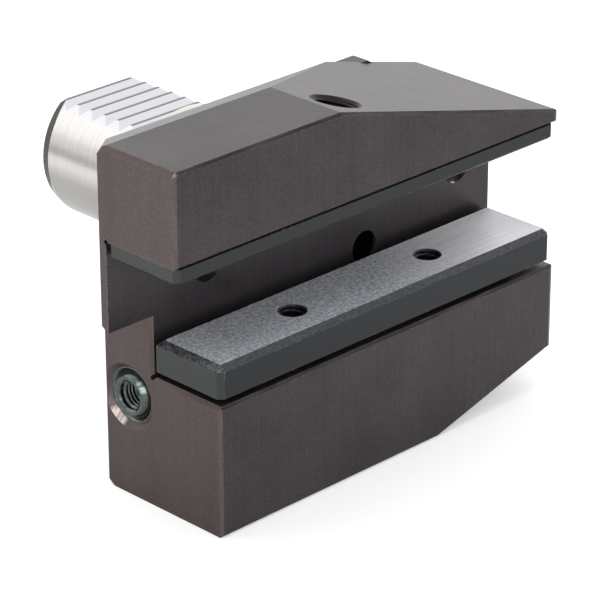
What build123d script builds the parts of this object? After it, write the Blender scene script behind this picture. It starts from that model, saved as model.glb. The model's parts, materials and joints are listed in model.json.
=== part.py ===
from build123d import *
from math import atan, cos, degrees, radians, sin, sqrt, tan
import os

# Radial overhead tool holder with a 30 mm serrated shank, for 20 mm square turning tools.
# Millimetres. The origin is on the shank's axis, in the flange face that seats on the turret.
# +X runs along the tool slot to the tapered nose, +Y runs along the shank away from the
# slot, and +Z is up. The tool lies in the slot along X, under the upper jaw.

# Head, seen from the front
HEAD_LEFT = -65.0          # left end of the upper jaw
LOWER_LEFT = -55.0         # left end of the lower jaw
HEAD_RIGHT = 35.0          # right end of both jaws
HEAD_TOP = 39.0
HEAD_BOTTOM = -35.0
JAW_THICKNESS = 18.0       # upper jaw, from its top to its flat underside
CREASE_X = -24.5           # where the flat top turns into the long slope
NOSE_THICKNESS = 2.3       # upper jaw at the end of the long slope
BELLY_X = 2.5              # where the underside starts to rise to the right
BELLY_RISE = 8.7           # how far it has risen at the right end
WING_BOTTOM = 3.3          # lower edge of the thin wing at the left end
EDGE_BREAK = 0.5           # chamfer on the long edges of the head
END_BREAK = 1.0            # chamfer on the edges of the right end and of the corner cut
LEFT_BREAK = 0.8           # chamfer on the top edge of the left end
SLOT_END_BREAK = 0.7       # chamfer on the left end of the slot

# Head, seen from above
JAW_FRONT = -40.0
SLOT_WALL = -22.0          # back wall of the tool slot
HEAD_BACK = -3.0
FLANGE_FACE = 0.0
BACK_BEVEL_START = -21.8   # Y where the top starts to fall towards the back
BACK_BEVEL_ANGLE = 25.0
CORNER_TRIM_X = 16.0       # cut across the back left corner, along X and along Y
CORNER_TRIM_Y = 17.25
CORNER_GROOVE_R = 0.45     # relief grooves in the inner corners of the slot

# Flange and shank
FLANGE_R = 34.0
FLANGE_TRIM = 28.0         # the flange is cut flat above this height
SHANK_R = 15.0
SHANK_LENGTH = 55.0
SHANK_LEAD = 0.6           # lead-in chamfer at the end, measured on the radius
SHANK_LEAD_LENGTH = 2.2
RACK_CREST = 12.0          # height of the tooth crests above the axis
RACK_PITCH = 4.0
RACK_DEPTH = 1.55
RACK_CREST_FLAT = 0.4
RACK_START = 29.6          # first crest beside the plain stretch
RACK_RUN_OUT = 2.5

# Flange seal and coolant
SEAL_R = 18.6              # mean radius of the flange seal groove
SEAL_CORD = 2.6
SEAL_STAND_OUT = 0.4       # height of the free seal above the flange face
BORE_R = 3.25              # bore on the shank's axis
CHANNEL_R = 2.5
INLET_X = -24.0            # coolant inlet in the flange face
INLET_SEAL_R = 4.2
INLET_SEAL_CORD = 1.8
PLUG_LENGTH = 6.0          # set screw that closes the axial bore
PLUG_SUNK = 4.0            # its face behind the slot wall
PLUG_KEY = 3.0
PLUG_KEY_DEPTH = 3.0

# Seat plate and its screws
PLATE_THICKNESS = 3.2
PLATE_FRONT_STEP = 0.3     # bars stand back this far from the jaws' front
PLATE_LEFT_STEP = 0.4
PLATE_RIGHT_STEP = 1.2
BAR_WALL_GAP = 0.9         # clear gap between the bars and the slot wall
BAR_CORNER = 1.0           # chamfer on the upright front corners of both bars
SEAT_SCREW_X = (-48.0, 18.0)
SEAT_SCREW_R = 2.0
SEAT_HEAD_R = 3.9
SEAT_HEAD_DEPTH = 2.1
SEAT_SCREW_LENGTH = 8.0
SEAT_KEY = 2.5             # hexagon across its flats
SEAT_KEY_DEPTH = 1.3

# Clamping bar, its screws and springs
SLOT_OPENING = 18.9        # between seat plate and clamping bar as shown
BAR_THICKNESS = 6.4
BAR_LIFT_GAP = 1.3         # gap under the bar as shown
BAR_BEVEL = 1.1            # worn bevel round the bar's top
SCREW_PITCH = 36.0
CLAMP_SCREWS = 3
CLAMP_SCREW_R = 5.0
CLAMP_SCREW_LENGTH = 16.0
CLAMP_KEY = 5.0
CLAMP_KEY_DEPTH = 6.0
CLAMP_POINT_R = 3.4        # flat point of a clamping screw
PULL_SCREWS = 2
PULL_SCREW_R = 2.5
PULL_SCREW_LENGTH = 20.0
PULL_HEAD_R = 4.25
PULL_HEAD_HEIGHT = 5.0
PULL_KEY = 4.0
PULL_KEY_DEPTH = 2.5
PULL_SUNK = 3.0            # tip of a pull-down screw below the bar's top
PULL_POCKET_R = 4.9
BAR_HOLE_MOUTH_R = 2.8
SPRING_WIRE_R = 0.45
SPRING_TURNS = 4.5
SPRING_LENGTH = 8.0

# Swivelling coolant nozzle in the left face of the lower jaw
NOZZLE_Y = -15.4
NOZZLE_Z = -14.9
NOZZLE_MOUTH_R = 6.5       # countersink of the pocket in the face
NOZZLE_MOUTH_DEPTH = 1.0
BALL_R = 5.2
BALL_BORE_R = 2.75         # tapped bore for a pipe
BALL_FACE_R = 3.8          # flat round the mouth of the bore
BALL_MOUTH_R = 3.1
RING_R = 5.5               # threaded ring that keeps the ball in
RING_MOUTH_R = 5.2
RING_THROAT_R = 4.75
RING_CONE = 0.45           # depth of the ring's conical mouth
SOCKET_R = 4.05            # small bore behind the ball, where its seal lies
NOZZLE_SEAL_R = 3.4
NOZZLE_SEAL_CORD = 1.2

# Tapped coolant port in the long slope, and threads in the slot wall
PORT_X = -18.0
PORT_Y = -32.0
PORT_R = 4.4
PORT_MOUTH_R = 4.95
PORT_DEPTH = 12.0
WALL_THREAD_X = (-41.0, 25.5)
WALL_THREAD_Z = 10.0
WALL_THREAD_R = 3.4
WALL_MOUTH_R = 4.2
WALL_THREAD_DEPTH = 12.0

# Clearances
FIT = 0.05                 # radial, between a screw and the piece it moves in
PASS = 0.4                 # radial, where a screw passes through freely
CUT = 1.0                  # how far a cutting tool runs past a face

# Levels and places worked out from the sizes above
JAW_UNDERSIDE = HEAD_TOP - JAW_THICKNESS
SEAT_FACE = JAW_UNDERSIDE - PLATE_THICKNESS
BAR_TOP = SEAT_FACE - SLOT_OPENING
BAR_BOTTOM = BAR_TOP - BAR_THICKNESS
LOWER_JAW_TOP = BAR_BOTTOM - BAR_LIFT_GAP
BAR_FRONT = JAW_FRONT + PLATE_FRONT_STEP
BAR_BACK = SLOT_WALL - BAR_WALL_GAP
BAR_LEFT = LOWER_LEFT + PLATE_LEFT_STEP
BAR_RIGHT = HEAD_RIGHT - PLATE_RIGHT_STEP
BAR_MIDDLE_X = (BAR_LEFT + BAR_RIGHT) / 2
BAR_MIDDLE_Y = (BAR_FRONT + BAR_BACK) / 2
PLATE_LEFT = HEAD_LEFT + PLATE_LEFT_STEP
NOSE_TOP = JAW_UNDERSIDE + NOSE_THICKNESS
SLOPE_ANGLE = degrees(atan((HEAD_TOP - NOSE_TOP) / (HEAD_RIGHT - CREASE_X)))
BELLY_END = HEAD_BOTTOM + BELLY_RISE
PULL_TIP = BAR_TOP - PULL_SUNK
PULL_HEAD_TOP = PULL_TIP - PULL_SCREW_LENGTH
POCKET_SHOULDER = PULL_HEAD_TOP + SPRING_LENGTH
SPRING_COIL_R = (PULL_SCREW_R + PULL_POCKET_R) / 2
BALL_IN_RING = RING_CONE + sqrt((BALL_R + FIT) ** 2 - RING_THROAT_R ** 2)
BALL_INSET = NOZZLE_MOUTH_DEPTH + BALL_IN_RING
SEAL_REACH = sqrt((BALL_R + FIT + NOZZLE_SEAL_CORD / 2) ** 2 - NOZZLE_SEAL_R ** 2)
SOCKET_START = BALL_INSET + sqrt(BALL_R ** 2 - SOCKET_R ** 2) + FIT
SOCKET_END = BALL_INSET + SEAL_REACH + NOZZLE_SEAL_CORD / 2
HEX_SIDE_COUNT = 6


def round_bar(radius, start, direction, length):
    """A plain cylinder from a start point along a direction."""
    return extrude(Plane(origin=start, z_dir=direction) * Circle(radius), amount=length)


def cone(radius_a, radius_b, start, direction, length):
    """A cone frustum from a start point along a direction."""
    base = Plane(origin=start, z_dir=direction)
    middle = base * Pos(0, 0, length / 2)
    return middle * Cone(radius_a, radius_b, length)


def hex_socket(across_flats, start, direction, depth):
    """The hexagon recess of a socket screw, driven in from a face."""
    outline = RegularPolygon(across_flats / 2, HEX_SIDE_COUNT, major_radius=False)
    return extrude(Plane(origin=start, z_dir=direction) * outline, amount=depth)


def centred_row(count, pitch, middle):
    """Evenly spaced X places about a middle."""
    first = middle - pitch * (count - 1) / 2
    return [first + pitch * step for step in range(count)]


CLAMP_X = centred_row(CLAMP_SCREWS, SCREW_PITCH, BAR_MIDDLE_X)
PULL_X = centred_row(PULL_SCREWS, SCREW_PITCH, BAR_MIDDLE_X)


def head_block():
    """The front outline carried back to the rear face, within the outline seen from above."""
    front_outline = Polyline(
        (HEAD_LEFT, WING_BOTTOM),
        (HEAD_LEFT, HEAD_TOP - LEFT_BREAK),
        (HEAD_LEFT + LEFT_BREAK, HEAD_TOP),
        (CREASE_X, HEAD_TOP),
        (HEAD_RIGHT - END_BREAK, NOSE_TOP + END_BREAK * tan(radians(SLOPE_ANGLE))),
        (HEAD_RIGHT, NOSE_TOP - END_BREAK),
        (HEAD_RIGHT, BELLY_END + END_BREAK),
        (HEAD_RIGHT - END_BREAK, BELLY_END - END_BREAK * BELLY_RISE / (HEAD_RIGHT - BELLY_X)),
        (BELLY_X, HEAD_BOTTOM),
        (LOWER_LEFT, HEAD_BOTTOM),
        (LOWER_LEFT, WING_BOTTOM),
        close=True,
    )
    plan_outline = Polyline(
        (HEAD_LEFT, JAW_FRONT),
        (HEAD_RIGHT - END_BREAK, JAW_FRONT),
        (HEAD_RIGHT, JAW_FRONT + END_BREAK),
        (HEAD_RIGHT, HEAD_BACK - END_BREAK),
        (HEAD_RIGHT - END_BREAK, HEAD_BACK),
        (HEAD_LEFT + CORNER_TRIM_X, HEAD_BACK),
        (HEAD_LEFT, HEAD_BACK - CORNER_TRIM_Y),
        close=True,
    )
    front = Plane(origin=(0, JAW_FRONT, 0), x_dir=(1, 0, 0), z_dir=(0, -1, 0))
    below = Plane(origin=(0, 0, HEAD_BOTTOM))
    block = extrude(front * make_face(front_outline), amount=-(HEAD_BACK - JAW_FRONT))
    block = block & extrude(below * make_face(plan_outline), amount=HEAD_TOP - HEAD_BOTTOM)
    front_edges = [e for e in block.edges() if abs(e.center().Y - JAW_FRONT) < EDGE_BREAK / 4]
    return chamfer(front_edges, EDGE_BREAK)


def slot_end_wedges():
    """What breaks the edges of the slot at the ends of the jaws and of the slot wall."""
    front = Plane(origin=(0, JAW_FRONT - CUT, 0), x_dir=(1, 0, 0), z_dir=(0, -1, 0))
    depth = SLOT_WALL - JAW_FRONT + CUT
    wedges = []
    for x, z, side, up, size in (
        (LOWER_LEFT, LOWER_JAW_TOP, -1, -1, SLOT_END_BREAK),
        (HEAD_RIGHT, LOWER_JAW_TOP, 1, -1, END_BREAK),
        (HEAD_RIGHT, JAW_UNDERSIDE, 1, 1, END_BREAK / 2),
    ):
        corner = Polyline(
            (x - side * size, z),
            (x + side * CUT, z + up * (size + CUT)),
            (x + side * CUT, z),
            close=True,
        )
        wedges.append(extrude(front * make_face(corner), amount=-depth))
    upright = Polyline(
        (LOWER_LEFT - CUT, SLOT_WALL + SLOT_END_BREAK + CUT),
        (LOWER_LEFT + SLOT_END_BREAK, SLOT_WALL),
        (LOWER_LEFT - CUT, SLOT_WALL),
        close=True,
    )
    level = Plane(origin=(0, 0, LOWER_JAW_TOP))
    wedges.append(extrude(level * make_face(upright), amount=WING_BOTTOM - LOWER_JAW_TOP))
    return wedges


def slot_cut():
    """The tool slot, with broken edges at its mouth and relief grooves in its corners."""
    outline = Polyline(
        (JAW_FRONT - CUT, LOWER_JAW_TOP - EDGE_BREAK - CUT),
        (JAW_FRONT + EDGE_BREAK, LOWER_JAW_TOP),
        (SLOT_WALL, LOWER_JAW_TOP),
        (SLOT_WALL, JAW_UNDERSIDE),
        (JAW_FRONT + EDGE_BREAK, JAW_UNDERSIDE),
        (JAW_FRONT - CUT, JAW_UNDERSIDE + EDGE_BREAK + CUT),
        close=True,
    )
    start_x = HEAD_LEFT - CUT
    length = HEAD_RIGHT - HEAD_LEFT + 2 * CUT
    side = Plane(origin=(start_x, 0, 0), x_dir=(0, 1, 0), z_dir=(1, 0, 0))
    slot = extrude(side * make_face(outline), amount=length)
    for z in (LOWER_JAW_TOP, JAW_UNDERSIDE):
        slot = slot + round_bar(CORNER_GROOVE_R, (start_x, SLOT_WALL, z), (1, 0, 0), length)
    for wedge in slot_end_wedges():
        slot = slot + wedge
    return slot


def bevel_cut():
    """What is milled off the back of the top, where it falls towards the flange."""
    fall = (HEAD_BACK - BACK_BEVEL_START + CUT) * tan(radians(BACK_BEVEL_ANGLE))
    outline = Polyline(
        (BACK_BEVEL_START, HEAD_TOP),
        (BACK_BEVEL_START, HEAD_TOP + CUT),
        (HEAD_BACK + CUT, HEAD_TOP + CUT),
        (HEAD_BACK + CUT, HEAD_TOP - fall),
        close=True,
    )
    side = Plane(origin=(HEAD_LEFT - CUT, 0, 0), x_dir=(0, 1, 0), z_dir=(1, 0, 0))
    return extrude(side * make_face(outline), amount=HEAD_RIGHT - HEAD_LEFT + 2 * CUT)


def flange():
    """The round flange with its flat trim, between the head and the turret face."""
    disc = round_bar(FLANGE_R, (0, HEAD_BACK - CUT, 0), (0, 1, 0), FLANGE_FACE - HEAD_BACK + CUT)
    trim = Pos(0, 0, FLANGE_TRIM + FLANGE_R / 2) * Box(2 * FLANGE_R, 2 * FLANGE_R, FLANGE_R)
    return disc - trim


def shank():
    """The ground shank, from inside the flange to its long end chamfer."""
    lead_start = FLANGE_FACE + SHANK_LENGTH - SHANK_LEAD_LENGTH
    bar = round_bar(SHANK_R, (0, HEAD_BACK, 0), (0, 1, 0), lead_start - HEAD_BACK)
    end_r = SHANK_R - SHANK_LEAD
    return bar + cone(SHANK_R, end_r, (0, lead_start, 0), (0, 1, 0), SHANK_LEAD_LENGTH)


def corner_edges(body):
    """The edges above and below the cut across the back left corner."""
    cut_face = Plane(
        origin=(HEAD_LEFT, HEAD_BACK - CORNER_TRIM_Y, 0), z_dir=(-CORNER_TRIM_Y, CORNER_TRIM_X, 0)
    )
    found = []
    for edge in body.edges():
        start, end = edge @ 0, edge @ 1
        on_cut = all(abs(cut_face.to_local_coords(point).Z) < FIT for point in (start, end))
        if on_cut and abs(start.X - end.X) > CUT:
            found.append(edge)
    return found


def rack_cut():
    """The milled flat with its row of V teeth, as one saw-edged block to take away."""
    end = FLANGE_FACE + SHANK_LENGTH
    half_flat = RACK_CREST_FLAT / 2
    half_gap = RACK_PITCH / 2
    points = [(RACK_START - RACK_RUN_OUT, SHANK_R + CUT), (RACK_START - half_flat, RACK_CREST)]
    crest = RACK_START
    while crest < end:
        points.append((crest + half_flat, RACK_CREST))
        points.append((crest + half_gap, RACK_CREST - RACK_DEPTH))
        points.append((crest + RACK_PITCH - half_flat, RACK_CREST))
        crest += RACK_PITCH
    points.append((crest, SHANK_R + CUT))
    side = Plane(origin=(-SHANK_R - CUT, 0, 0), x_dir=(0, 1, 0), z_dir=(1, 0, 0))
    return extrude(side * make_face(Polyline(*points, close=True)), amount=2 * (SHANK_R + CUT))


def seal_groove(x, z, radius, cord):
    """A ring groove in the flange face that holds a seal."""
    half_width = cord / 2 + FIT
    ring = Circle(radius + half_width) - Circle(radius - half_width)
    face = Plane(origin=(x, FLANGE_FACE, z), x_dir=(1, 0, 0), z_dir=(0, -1, 0))
    return extrude(face * ring, amount=cord - SEAL_STAND_OUT)


def coolant_drillings():
    """The axial bore, and the inlet and cross channel that feed the nozzle."""
    bore_length = FLANGE_FACE + SHANK_LENGTH - SLOT_WALL + 2 * CUT
    bore = round_bar(BORE_R, (0, SLOT_WALL - CUT, 0), (0, 1, 0), bore_length)
    inlet_length = FLANGE_FACE + CUT - NOZZLE_Y
    inlet = round_bar(CHANNEL_R, (INLET_X, FLANGE_FACE + CUT, NOZZLE_Z), (0, -1, 0), inlet_length)
    cross_length = INLET_X + CHANNEL_R - LOWER_LEFT
    cross = round_bar(CHANNEL_R, (LOWER_LEFT, NOZZLE_Y, NOZZLE_Z), (1, 0, 0), cross_length)
    return bore + inlet + cross


def nozzle_pocket():
    """The stepped pocket of the nozzle in the left face of the lower jaw."""
    outside = (LOWER_LEFT - CUT, NOZZLE_Y, NOZZLE_Z)
    mouth = cone(
        NOZZLE_MOUTH_R, RING_R, (LOWER_LEFT, NOZZLE_Y, NOZZLE_Z), (1, 0, 0), NOZZLE_MOUTH_DEPTH
    )
    for_ring = round_bar(RING_R, outside, (1, 0, 0), BALL_INSET + CUT)
    for_ball = round_bar(BALL_R + 2 * FIT, outside, (1, 0, 0), SOCKET_START + CUT)
    for_seal = round_bar(SOCKET_R, outside, (1, 0, 0), SOCKET_END + CUT)
    return mouth + for_ring + for_ball + for_seal


def bottom_machining():
    """Tapped holes and spring pockets of the clamping bar, cut up from the underside."""
    below = HEAD_BOTTOM - CUT
    tools = []
    for x in CLAMP_X:
        depth = LOWER_JAW_TOP + CUT - below
        tools.append(round_bar(CLAMP_SCREW_R + FIT, (x, BAR_MIDDLE_Y, below), (0, 0, 1), depth))
    for x in PULL_X:
        start = (x, BAR_MIDDLE_Y, below)
        tools.append(round_bar(PULL_POCKET_R, start, (0, 0, 1), POCKET_SHOULDER - below))
        tools.append(round_bar(PULL_SCREW_R + PASS, start, (0, 0, 1), LOWER_JAW_TOP + CUT - below))
    return tools


def top_machining():
    """The coolant port in the slope, the threads in the slot wall and the seat screw holes."""
    slope_z = HEAD_TOP - (PORT_X - CREASE_X) * tan(radians(SLOPE_ANGLE))
    out = (sin(radians(SLOPE_ANGLE)), 0, cos(radians(SLOPE_ANGLE)))
    into = (-out[0], 0, -out[2])
    mouth = PORT_MOUTH_R - PORT_R
    start = (PORT_X, PORT_Y, slope_z)
    above = (PORT_X + CUT * out[0], PORT_Y, slope_z + CUT * out[2])
    tools = [
        round_bar(PORT_R, above, into, PORT_DEPTH + CUT),
        cone(PORT_MOUTH_R + CUT, PORT_R, above, into, mouth + CUT),
    ]
    for x in WALL_THREAD_X:
        wall = (x, SLOT_WALL - CUT, WALL_THREAD_Z)
        tools.append(round_bar(WALL_THREAD_R, wall, (0, 1, 0), WALL_THREAD_DEPTH + CUT))
        rim = WALL_MOUTH_R - WALL_THREAD_R
        tools.append(cone(WALL_MOUTH_R + CUT, WALL_THREAD_R, wall, (0, 1, 0), rim + CUT))
    hole_depth = SEAT_SCREW_LENGTH - PLATE_THICKNESS + CUT / 2
    for x in SEAT_SCREW_X:
        hole = (x, BAR_MIDDLE_Y, JAW_UNDERSIDE - CUT)
        tools.append(round_bar(SEAT_SCREW_R + FIT, hole, (0, 0, 1), hole_depth + CUT))
    return tools


def build_holder_body():
    """Head, jaws, flange and shank in one hardened piece."""
    body = head_block() - bevel_cut()
    body = chamfer(corner_edges(body), END_BREAK) - slot_cut()
    body = body + flange() + shank()
    body = body - rack_cut() - coolant_drillings() - nozzle_pocket()
    body = body - seal_groove(0, 0, SEAL_R, SEAL_CORD)
    body = body - seal_groove(INLET_X, NOZZLE_Z, INLET_SEAL_R, INLET_SEAL_CORD)
    for tool in bottom_machining() + top_machining():
        body = body - tool
    return body


def plain_bar(left, right, bottom, top):
    """A rectangular bar in the slot, with its upright front corners broken."""
    bar = Pos((left + right) / 2, BAR_MIDDLE_Y, (bottom + top) / 2) * Box(
        right - left, BAR_BACK - BAR_FRONT, top - bottom
    )
    upright = bar.edges().filter_by(Axis.Z).sort_by(Axis.Y)
    return chamfer(upright[:2], BAR_CORNER)


def build_seat_plate():
    """The hardened plate under the upper jaw that the tool is pressed against."""
    plate = plain_bar(PLATE_LEFT, BAR_RIGHT, SEAT_FACE, JAW_UNDERSIDE)
    low = [e for e in plate.edges() if abs(e.center().Z - SEAT_FACE) < EDGE_BREAK / 4]
    plate = chamfer(low, EDGE_BREAK)
    high = [e for e in plate.edges() if abs(e.center().Z - JAW_UNDERSIDE) < EDGE_BREAK / 4]
    plate = chamfer(high, EDGE_BREAK / 2)
    for x in SEAT_SCREW_X:
        face = (x, BAR_MIDDLE_Y, SEAT_FACE)
        plate = plate - round_bar(SEAT_SCREW_R + PASS, face, (0, 0, 1), PLATE_THICKNESS)
        wide = SEAT_HEAD_R + FIT
        plate = plate - cone(wide, wide - SEAT_HEAD_DEPTH, face, (0, 0, 1), SEAT_HEAD_DEPTH)
    return plate


def build_seat_screw(x):
    """A countersunk socket screw, head down in the seat plate."""
    head = cone(SEAT_HEAD_R, SEAT_SCREW_R, (x, BAR_MIDDLE_Y, SEAT_FACE), (0, 0, 1),
                SEAT_HEAD_R - SEAT_SCREW_R)
    thread = round_bar(SEAT_SCREW_R, (x, BAR_MIDDLE_Y, SEAT_FACE), (0, 0, 1), SEAT_SCREW_LENGTH)
    key = hex_socket(SEAT_KEY, (x, BAR_MIDDLE_Y, SEAT_FACE), (0, 0, 1), SEAT_KEY_DEPTH)
    return head + thread - key


def build_clamping_bar():
    """The thick bar that the screws push up against the tool."""
    bar = plain_bar(BAR_LEFT, BAR_RIGHT, BAR_BOTTOM, BAR_TOP)
    rim = [e for e in bar.edges() if abs(e.center().Z - BAR_TOP) < EDGE_BREAK / 4]
    bar = chamfer(rim, BAR_BEVEL)
    mouth = BAR_HOLE_MOUTH_R - PULL_SCREW_R
    for x in PULL_X:
        below = (x, BAR_MIDDLE_Y, BAR_BOTTOM - CUT)
        bar = bar - round_bar(PULL_SCREW_R, below, (0, 0, 1), BAR_THICKNESS + 2 * CUT)
        top = (x, BAR_MIDDLE_Y, BAR_TOP)
        bar = bar - cone(BAR_HOLE_MOUTH_R, PULL_SCREW_R, top, (0, 0, -1), mouth)
    return bar


def build_clamp_screw(x):
    """A socket set screw with a flat point, turned in from below to lift the bar."""
    low = BAR_BOTTOM - CLAMP_SCREW_LENGTH
    point = CLAMP_SCREW_R - CLAMP_POINT_R
    thread = round_bar(CLAMP_SCREW_R, (x, BAR_MIDDLE_Y, low), (0, 0, 1), CLAMP_SCREW_LENGTH - point)
    tip = cone(CLAMP_SCREW_R, CLAMP_POINT_R, (x, BAR_MIDDLE_Y, BAR_BOTTOM - point), (0, 0, 1), point)
    key = hex_socket(CLAMP_KEY, (x, BAR_MIDDLE_Y, low), (0, 0, 1), CLAMP_KEY_DEPTH)
    return thread + tip - key


def build_pull_screw(x):
    """A cap screw from below whose spring draws the bar down when the clamp is loosened."""
    head_low = PULL_HEAD_TOP - PULL_HEAD_HEIGHT
    head = round_bar(PULL_HEAD_R, (x, BAR_MIDDLE_Y, head_low), (0, 0, 1), PULL_HEAD_HEIGHT)
    head = chamfer(head.edges().sort_by(Axis.Z)[0], EDGE_BREAK)
    thread = round_bar(PULL_SCREW_R, (x, BAR_MIDDLE_Y, PULL_HEAD_TOP), (0, 0, 1), PULL_SCREW_LENGTH)
    key = hex_socket(PULL_KEY, (x, BAR_MIDDLE_Y, head_low), (0, 0, 1), PULL_KEY_DEPTH)
    return head + thread - key


def build_spring(x):
    """A compression spring between a pull-down screw's head and the pocket's shoulder."""
    height = SPRING_LENGTH - 2 * SPRING_WIRE_R
    pitch = height / SPRING_TURNS
    coil = Helix(pitch=pitch, height=height, radius=SPRING_COIL_R)
    wire = Plane(origin=coil @ 0, z_dir=coil % 0) * Circle(SPRING_WIRE_R)
    return Pos(x, BAR_MIDDLE_Y, PULL_HEAD_TOP + SPRING_WIRE_R) * sweep(wire, path=coil)


def build_nozzle_ball():
    """The swivelling ball with its tapped bore and the flat round its mouth."""
    centre_x = LOWER_LEFT + BALL_INSET
    ball = Pos(centre_x, NOZZLE_Y, NOZZLE_Z) * Sphere(BALL_R)
    front_x = centre_x - sqrt(BALL_R ** 2 - BALL_FACE_R ** 2)
    back_x = centre_x + sqrt(BALL_R ** 2 - BALL_BORE_R ** 2)
    bore = round_bar(BALL_BORE_R, (front_x - CUT, NOZZLE_Y, NOZZLE_Z), (1, 0, 0), 2 * BALL_R)
    for x in (front_x - BALL_R, back_x + BALL_R):
        ball = ball - Pos(x, NOZZLE_Y, NOZZLE_Z) * Box(2 * BALL_R, 2 * BALL_R, 2 * BALL_R)
    mouth_face = (front_x, NOZZLE_Y, NOZZLE_Z)
    mouth = cone(BALL_MOUTH_R, BALL_BORE_R, mouth_face, (1, 0, 0), BALL_MOUTH_R - BALL_BORE_R)
    return ball - bore - mouth


def build_nozzle_ring():
    """The threaded ring: a conical mouth in front, a ball socket behind."""
    front = (LOWER_LEFT + NOZZLE_MOUTH_DEPTH, NOZZLE_Y, NOZZLE_Z)
    centre = (LOWER_LEFT + BALL_INSET, NOZZLE_Y, NOZZLE_Z)
    ring = round_bar(RING_R - FIT, front, (1, 0, 0), BALL_IN_RING)
    throat = round_bar(RING_THROAT_R, front, (1, 0, 0), BALL_IN_RING)
    mouth = cone(RING_MOUTH_R, RING_THROAT_R, front, (1, 0, 0), RING_CONE)
    socket = Pos(*centre) * Sphere(BALL_R + FIT)
    return ring - throat - mouth - socket


def build_flange_seal():
    """The rubber ring round the shank in the flange face."""
    centre = (0, FLANGE_FACE + SEAL_STAND_OUT - SEAL_CORD / 2, 0)
    return Plane(origin=centre, z_dir=(0, 1, 0)) * Torus(SEAL_R, SEAL_CORD / 2)


def build_inlet_seal():
    """The small rubber ring round the coolant inlet in the flange face."""
    centre = (INLET_X, FLANGE_FACE + SEAL_STAND_OUT - INLET_SEAL_CORD / 2, NOZZLE_Z)
    return Plane(origin=centre, z_dir=(0, 1, 0)) * Torus(INLET_SEAL_R, INLET_SEAL_CORD / 2)


def build_nozzle_seal():
    """The rubber ring behind the ball."""
    centre = (LOWER_LEFT + BALL_INSET + SEAL_REACH, NOZZLE_Y, NOZZLE_Z)
    return Plane(origin=centre, z_dir=(1, 0, 0)) * Torus(NOZZLE_SEAL_R, NOZZLE_SEAL_CORD / 2)


def build_bore_plug():
    """The set screw that closes the axial bore behind the slot wall."""
    face = (0, SLOT_WALL + PLUG_SUNK, 0)
    plug = round_bar(BORE_R - FIT, face, (0, 1, 0), PLUG_LENGTH)
    return plug - hex_socket(PLUG_KEY, face, (0, 1, 0), PLUG_KEY_DEPTH)


def main():
    os.makedirs("parts", exist_ok=True)
    pieces = {
        "holder_body": build_holder_body(),
        "seat_plate": build_seat_plate(),
        "clamping_bar": build_clamping_bar(),
        "nozzle_ball": build_nozzle_ball(),
        "nozzle_ring": build_nozzle_ring(),
        "nozzle_seal": build_nozzle_seal(),
        "flange_seal": build_flange_seal(),
        "inlet_seal": build_inlet_seal(),
        "bore_plug": build_bore_plug(),
    }
    for number, x in enumerate(SEAT_SCREW_X, start=1):
        pieces[f"seat_screw_{number}"] = build_seat_screw(x)
    for number, x in enumerate(CLAMP_X, start=1):
        pieces[f"clamp_screw_{number}"] = build_clamp_screw(x)
    for number, x in enumerate(PULL_X, start=1):
        pieces[f"pull_screw_{number}"] = build_pull_screw(x)
        pieces[f"pull_spring_{number}"] = build_spring(x)
    for name, piece in pieces.items():
        piece.label = name
        export_step(piece, f"parts/{name}.step")


main()
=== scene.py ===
# %% [markdown]
# A tool holder for a lathe turret, dressed in Blender.
#
# The holder is a block of hardened steel with a slot for a square turning tool and a round
# shank with a rack milled into it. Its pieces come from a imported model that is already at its
# real size. This lesson gives each of them its finish, adds the threads and springs that the
# solids leave plain, and lights the whole as in a catalogue photograph.

import json
from math import pi, radians

import bmesh
import bpy
import numpy as np
from mathutils import Matrix, Vector


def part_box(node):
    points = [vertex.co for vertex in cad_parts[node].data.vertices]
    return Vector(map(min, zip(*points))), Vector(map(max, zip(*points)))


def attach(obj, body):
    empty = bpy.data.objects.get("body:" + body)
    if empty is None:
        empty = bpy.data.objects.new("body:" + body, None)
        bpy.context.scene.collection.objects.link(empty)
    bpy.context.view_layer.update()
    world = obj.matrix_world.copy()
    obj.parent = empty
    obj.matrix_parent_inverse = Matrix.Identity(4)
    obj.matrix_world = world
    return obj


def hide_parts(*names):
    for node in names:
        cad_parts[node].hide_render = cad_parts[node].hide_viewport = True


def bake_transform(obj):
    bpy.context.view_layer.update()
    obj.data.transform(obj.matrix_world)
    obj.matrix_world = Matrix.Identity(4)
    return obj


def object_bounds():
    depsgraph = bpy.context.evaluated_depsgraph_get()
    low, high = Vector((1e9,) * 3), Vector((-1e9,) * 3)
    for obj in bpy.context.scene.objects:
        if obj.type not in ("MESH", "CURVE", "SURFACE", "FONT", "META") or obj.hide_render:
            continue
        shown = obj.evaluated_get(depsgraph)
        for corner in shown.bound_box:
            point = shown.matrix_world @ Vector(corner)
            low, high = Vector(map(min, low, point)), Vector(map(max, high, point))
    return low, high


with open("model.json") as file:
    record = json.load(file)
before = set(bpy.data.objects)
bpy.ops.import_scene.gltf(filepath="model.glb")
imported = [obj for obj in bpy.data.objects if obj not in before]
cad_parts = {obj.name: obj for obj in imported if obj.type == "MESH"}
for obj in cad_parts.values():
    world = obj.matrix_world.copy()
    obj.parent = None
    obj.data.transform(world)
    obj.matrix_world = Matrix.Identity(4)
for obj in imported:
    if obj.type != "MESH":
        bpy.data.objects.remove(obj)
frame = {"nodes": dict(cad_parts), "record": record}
solid_low, solid_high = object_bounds()
nodes = frame["nodes"]
mounts = {m["name"]: m for m in frame["record"]["mounts"]}
MM = 0.001
print("solids:", len(nodes), "box in mm:", [round(v / MM, 1) for v in solid_high - solid_low])

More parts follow.
